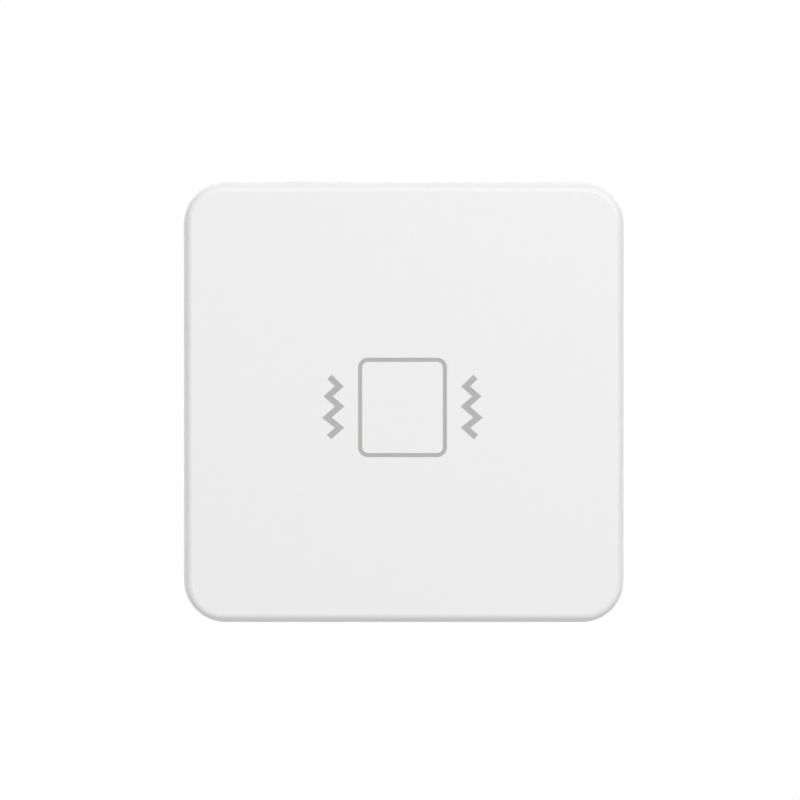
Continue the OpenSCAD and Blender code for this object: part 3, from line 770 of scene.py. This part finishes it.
strap_w = 8 * MM
leg_gap = 0.1 * MM
leg_out = (cell_high.y - cell_low.y) / 2 + leg_gap
foot_l = lying("cell_clip")[1].y - leg_out
hills = []
for side in (-1, 1):
    middle = (cell_mid.x, side * (leg_out + foot_l / 2))
    hills.append(add_solder(middle, (strap_w, foot_l), spread=0.45 * MM, rise=0.2 * MM))
low, high = lying("switch_cover")
tab_size = (0.5 * MM, 0.8 * MM)
for x in (low.x + tab_size[0] / 2, high.x - tab_size[0] / 2):
    hills.append(add_solder((x, (low.y + high.y) / 2), tab_size, spread=0.28 * MM, rise=0.16 * MM))
low, high = lying("reservoir_capacitor")
end_size = (0.3 * MM, 1.9 * MM)
for x in (low.x + end_size[0] / 2, high.x - end_size[0] / 2):
    hills.append(add_solder((x, (low.y + high.y) / 2), end_size, spread=0.4 * MM, rise=0.5 * MM))
hand_over(stand_up("solder_joints", *hills, smooth_under=50), make_solder(), "sensor")

# %% [markdown]
# ## Rounded copies
# The rear cover, the screws and the chips are exact in the CAD model, with edges as sharp as a
# drawing. A moulded plate or a formed head has edges that catch the light. For these the CAD mesh is
# copied, welded, cleared of flat inner edges and bevelled, and the copy stands for the node.
# Normals weighted by face size keep the flat faces flat beside the narrow bevels.

# %% Helpers for rounded copies
SHARP = math.radians(35)
FLAT = math.radians(0.3)


def copy_node(name):
    """Welded copy of a CAD node's mesh, without the edges inside its flat faces."""
    piece = bpy.data.objects.new(name + "_rounded", nodes[name].data.copy())
    bpy.context.scene.collection.objects.link(piece)
    only(piece)
    bpy.ops.mesh.customdata_custom_splitnormals_clear()
    bpy.ops.object.mode_set(mode="EDIT")
    weld()
    bpy.ops.mesh.dissolve_limited(angle_limit=FLAT)
    bpy.ops.object.mode_set(mode="OBJECT")
    return piece


def even_out(piece):
    """Smooth shading that leaves flat faces flat."""
    bpy.ops.object.shade_smooth_by_angle(angle=SHARP)
    even = piece.modifiers.new("even", "WEIGHTED_NORMAL")
    even.keep_sharp = True
    bpy.ops.object.modifier_apply(modifier=even.name)


def round_copy(name, edge, steps=2):
    """Copy of a CAD node whose sharp edges are rounded."""
    piece = copy_node(name)
    bevel = piece.modifiers.new("edges", "BEVEL")
    bevel.width = edge
    bevel.segments = steps
    bevel.limit_method = "ANGLE"
    bevel.angle_limit = SHARP
    bpy.ops.object.modifier_apply(modifier=bevel.name)
    bpy.ops.object.mode_set(mode="EDIT")
    weld()
    bpy.ops.object.mode_set(mode="OBJECT")
    even_out(piece)
    return piece


# %% [markdown]
# ## Rear cover
# The plate's outer edge is rounded by the mould, and fingers feel it when the tag is pulled off. The
# recess of the pad and the skirt keep their crisp edges, so here no modifier rounds the whole copy:
# only the edges of the rear face that lie outside the recess are selected and bevelled.

# %% Rear cover with a rounded rear edge
rear_edge = 0.3 * MM
pad_room = pad_high.x + 1 * MM
rear_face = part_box("rear_cover")[1].y
rear = copy_node("rear_cover")
bpy.ops.object.mode_set(mode="EDIT")
pick(lambda p: p.y > rear_face - WELD and max(abs(p.x), abs(p.z)) > pad_room, "EDGE", SHARP)
bpy.ops.mesh.bevel(offset=rear_edge, segments=4, clamp_overlap=False)
bpy.ops.object.mode_set(mode="OBJECT")
even_out(rear)
hand_over(rear, white_plastic, "base", ["rear_cover"])

# %% [markdown]
# ## Sheet metal and screws
# The clip and the switch's cover are nickel-plated spring steel, rolled before they are stamped,
# so fine lines run one way along the sheet. Noise stretched along X gives these lines. The clip's
# bends are already round in the CAD model and its mesh carries exact normals, so it is only painted.

# %% Plated steel
def make_plated_steel():
    roll = (0.04, 1, 1)
    finish = Finish("spring_steel", Metallic=1.0)
    lines = finish.noise(size=0.04 * MM, vector=finish.place(scale=roll), detail=3.0)
    cloud = finish.noise(size=1.2 * MM)
    finish.feed(Base_Color=finish.blend(lines * 0.5 + cloud * 0.5, grey(0.56, 0.05), grey(0.76, 0.04)))
    finish.feed(Roughness=0.24 + lines * 0.14 + cloud * 0.08)
    finish.bump(lines, depth=0.004 * MM, strength=0.7)
    return finish.material


plated_steel = make_plated_steel()
paint(plated_steel, "cell_clip")
for name, edge in (("switch_cover", 0.05 * MM), ("board_screws", 0.07 * MM)):
    hand_over(round_copy(name, edge), plated_steel, "sensor", [name])
contact = round_copy("negative_contact", edge=0.025 * MM)
hand_over(contact, gold, "sensor", ["negative_contact"])

# %% [markdown]
# ## Moulded chips
# Chips are black epoxy full of ground quartz, which shows as a fine speckle. The switch's body and its
# plunger are plain black plastic and take the same finish.

# %% Black epoxy
def make_epoxy():
    finish = Finish("black_plastic", IOR=1.55)
    speck = finish.noise(size=0.05 * MM, detail=1.0)
    grain = finish.smooth(speck, low=0.6, high=0.75)
    cloud = finish.noise(size=0.8 * MM)
    finish.feed(Base_Color=finish.blend(grain * 0.5 + cloud * 0.3, grey(0.022), grey(0.075)))
    finish.feed(Roughness=0.46 + speck * 0.2)
    finish.bump(speck + cloud * 0.3, depth=0.008 * MM, strength=0.8)
    return finish.material


epoxy = make_epoxy()
for name, edge in (("switch_body", 0.05 * MM), ("radio_chip", 0.03 * MM), ("accelerometer", 0.03 * MM),
                   ("inductor", 0.04 * MM)):
    hand_over(round_copy(name, edge), epoxy, "sensor", [name])
plunger = round_copy("switch_plunger", edge=0.08 * MM)
hand_over(plunger, epoxy, "plunger", ["switch_plunger"])

# %% [markdown]
# ## Chips with metal ends
# Capacitors, resistors and the antenna are fired blocks dipped in tin at both ends. One
# finish serves all three: along the chip's length, a point near the middle is ceramic and the rest is tin.

# %% Ceramic with tin ends
def make_ended_ceramic(name, dark, light, along, middles, half):
    """Ceramic within half of a middle along an axis, tin outside."""
    finish = Finish(name)
    place = finish.split(finish.place())["xyz".index(along)]
    soft = 0.01 * MM
    body = 0
    for middle in middles:
        body = body + (1 - finish.smooth(abs(place - middle), half - soft, half + soft))
    grain = finish.noise(size=0.06 * MM)
    cloud = finish.noise(size=0.5 * MM)
    clay = finish.blend(grain * 0.5 + cloud * 0.5, dark, light)
    tin = finish.blend(cloud, grey(0.60, 0.03), grey(0.76, 0.02))
    finish.feed(Base_Color=finish.blend(body, tin, clay), Metallic=1 - body)
    finish.feed(Roughness=0.28 + body * 0.25 + grain * 0.12)
    finish.bump(grain, depth=0.006 * MM)
    return finish.material


# Node, slot, edge in mm, dark and light colour, axis of the length, middles and half body in mm
ended_chips = (
    ("chip_capacitors", "capacitor_ceramic", 0.04, (0.34, 0.23, 0.14, 1), (0.46, 0.33, 0.21, 1), "x",
     (1, -6.4, -3.4, 8.2), 0.45),
    ("chip_resistors", "black_plastic", 0.02, grey(0.02), grey(0.05), "x", (4, -12.6, 2.6, 8.2), 0.28),
    ("chip_antenna", "ceramic", 0.05, (0.64, 0.60, 0.52, 1), (0.78, 0.74, 0.66, 1), "z", (3,), 2.0),
)
for name, slot, edge, dark, light, along, middles, half in ended_chips:
    finish = make_ended_ceramic(name + "_finish", dark, light, along, [m * MM for m in middles], half * MM)
    hand_over(round_copy(name, edge * MM), finish, "sensor", [name])

# %% [markdown]
# ## Crystals, light and reservoir
# A crystal is a ceramic tub under a seam-welded metal lid. The status light is a white base under clear
# resin. Both change at a height above the board, so one blend along Y makes each. The reservoir
# capacitor is orange resin with a dark bar at its positive end. The light guide is polished clear plastic.

# %% Crystals
board_front = lying("circuit_board")[1].z


def above_board(finish):
    """Height of a point above the board's front."""
    return -1 * finish.split(finish.place())[1] - board_front


def make_crystal_case():
    finish = Finish("crystal_case")
    lid = finish.smooth(above_board(finish), low=0.33 * MM, high=0.36 * MM)
    grain = finish.noise(size=0.05 * MM)
    clay = finish.blend(grain, (0.10, 0.085, 0.07, 1), (0.16, 0.14, 0.12, 1))
    steel = finish.blend(grain, grey(0.60, 0.05), grey(0.74, 0.05))
    finish.feed(Base_Color=finish.blend(lid, clay, steel), Metallic=lid)
    finish.feed(Roughness=0.5 - lid * 0.24 + grain * 0.14)
    finish.bump(grain, depth=0.004 * MM)
    return finish.material


crystals = round_copy("crystals", edge=0.04 * MM)
hand_over(crystals, make_crystal_case(), "sensor", ["crystals"])


# %% Status light and its guide
def make_led():
    finish = Finish("led_resin", IOR=1.53)
    lens = finish.smooth(above_board(finish), low=0.24 * MM, high=0.27 * MM)
    cloud = finish.noise(size=0.2 * MM)
    resin = finish.blend(cloud, (0.86, 0.80, 0.48, 1), (0.95, 0.91, 0.66, 1))
    finish.feed(Base_Color=finish.blend(lens, grey(0.78), resin))
    finish.feed(Roughness=0.5 - lens * 0.38 + cloud * 0.06)
    finish.bump(cloud, depth=0.004 * MM)
    return finish.material


def make_clear_guide():
    finish = Finish("clear_guide", IOR=1.49, Transmission_Weight=0.9)
    cloud = finish.noise(size=0.6 * MM)
    finish.feed(Base_Color=finish.blend(cloud, (0.88, 0.92, 0.95, 1), (0.94, 0.96, 0.97, 1)))
    finish.feed(Roughness=0.05 + cloud * 0.08)
    finish.bump(cloud, depth=0.004 * MM)
    return finish.material


status_led = round_copy("status_led", edge=0.05 * MM)
hand_over(status_led, make_led(), "sensor", ["status_led"])
paint(make_clear_guide(), "light_guide")

# %% Reservoir capacitor
bar_w = 0.75 * MM
bar_edge = lying("reservoir_capacitor")[0].x + bar_w


def make_capacitor_resin():
    finish = Finish("capacitor_resin", IOR=1.54)
    x = finish.split(finish.place())[0]
    soft = 0.02 * MM
    bar = 1 - finish.smooth(x, bar_edge - soft, bar_edge + soft)
    grain = finish.noise(size=0.07 * MM)
    cloud = finish.noise(size=0.9 * MM)
    resin = finish.blend(grain * 0.4 + cloud * 0.6, (0.66, 0.33, 0.06, 1), (0.84, 0.47, 0.11, 1))
    finish.feed(Base_Color=finish.blend(bar, resin, (0.20, 0.075, 0.02, 1)))
    finish.feed(Roughness=0.34 + grain * 0.16)
    finish.bump(grain + cloud * 0.5, depth=0.008 * MM)
    return finish.material


reservoir = round_copy("reservoir_capacitor", edge=0.07 * MM)
hand_over(reservoir, make_capacitor_resin(), "sensor", ["reservoir_capacitor"])

# %% [markdown]
# ## Light and background
# A white product on white needs light that is even but not flat. The surround is dimmer in front
# than behind, so the sides darken towards the front edge and clear up at the rim, as on the
# photograph. Soft lamps in front, above and at both sides set the gentle fall of tone over the face,
# and one straight behind lights the rear, which the front never sees. The background is white
# because the camera sees the surround at full strength, not because the tag gets more light.

# %% Surround
surround_front = 0.81
surround_behind = 0.963
bpy.context.scene.world = bpy.data.worlds.new("studio")
bpy.context.scene.world.use_nodes = True
studio = Graph(bpy.context.scene.world.node_tree)
direction = studio.split(studio.add("ShaderNodeTexCoord", out="Generated"))
front = 1 - studio.smooth(direction[1], low=-1, high=1)
behind = studio.smooth(direction[1], low=0, high=1)
light = front * surround_front + behind * surround_behind
strength = light + (1 - light) * studio.looked_at()
surround = studio.tree.nodes["Background"]
studio.put(surround.inputs["Color"], grey(1))
studio.put(surround.inputs["Strength"], strength)
bpy.context.scene.view_settings.view_transform = "Standard"
print("surround at", surround_front, "in front and", surround_behind, "behind")


# %% Lamps
def add_lamp(name, place, size, power):
    """Square soft lamp that looks at the tag's middle."""
    bpy.ops.object.select_all(action="DESELECT")
    bpy.ops.object.light_add(type="AREA", location=place)
    lamp = bpy.context.object
    lamp.name = name
    lamp.data.size = size
    lamp.data.energy = power
    lamp.rotation_euler = (-Vector(place)).to_track_quat("-Z", "Y").to_euler()
    lamp.visible_camera = False
    print(name, "at", round(Vector(place).length, 2), "m")


# Name, place and width in metres, power in watts
lamps = (
    ("key_lamp", (0.11, -0.34, 0.24), 0.25, 0.775),
    ("right_lamp", (0.40, 0.06, 0.08), 0.30, 0.036),
    ("top_lamp", (0.0, 0.36, 0.24), 0.30, 0.095),
    ("left_lamp", (-0.40, 0.06, 0.05), 0.25, 0.034),
    ("rear_lamp", (0.0, 0.50, 0.0), 0.25, 0.48),
)
for lamp in lamps:
    add_lamp(*lamp)

# %% [markdown]
# ## Floor
# The floor lies well below the tag, keeps its shadow and fades into the white of the surround, so no
# horizon shows. A backdrop sheet would do as well, but it hides one side from the other views. The
# floor's underside is clear, so the tag can be looked at from below.

# %% Floor
floor_low = -60 * MM
floor_w = 6
fade_near = 90 * MM
fade_far = 190 * MM
near_share = 0.4


def make_floor():
    """Pale floor that keeps a shadow near the tag and fades into the white surround."""
    finish = Finish("pale_floor", Roughness=0.9, Base_Color=grey(0.64))
    far = finish.add("ShaderNodeVectorMath", {"operation": "LENGTH"}, {0: finish.place()}, out="Value")
    white = finish.add("ShaderNodeEmission", None, {"Color": grey(1), "Strength": 1.0})
    share = finish.looked_at() * (near_share + (1 - near_share) * finish.smooth(far, fade_near, fade_far))
    plain = Value(finish, finish.shader.outputs[0])
    top = finish.add("ShaderNodeMixShader", None, {0: share, 1: plain, 2: white})
    below = finish.add("ShaderNodeNewGeometry", out="Backfacing")
    clear = finish.add("ShaderNodeBsdfTransparent")
    both = finish.add("ShaderNodeMixShader", None, {0: below, 1: top, 2: clear})
    finish.put(finish.tree.nodes["Material Output"].inputs["Surface"], both)
    return finish.material


bpy.ops.object.select_all(action="DESELECT")
bpy.ops.mesh.primitive_plane_add(size=floor_w, location=(0, 0, floor_low))
floor = bpy.context.object
floor.name = "floor"
floor.data.materials.append(make_floor())
floor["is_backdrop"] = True
print("floor", floor_w, "m wide,", round(-floor_low / MM), "mm below the tag's middle")

# %% [markdown]
# ## Size
# The finish may change how the tag looks but not how large it is, so the box of the dressed tag is printed.

# %% Print the dressed box
low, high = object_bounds()
print("dressed box in mm:", [round(v / MM, 2) for v in high - low])
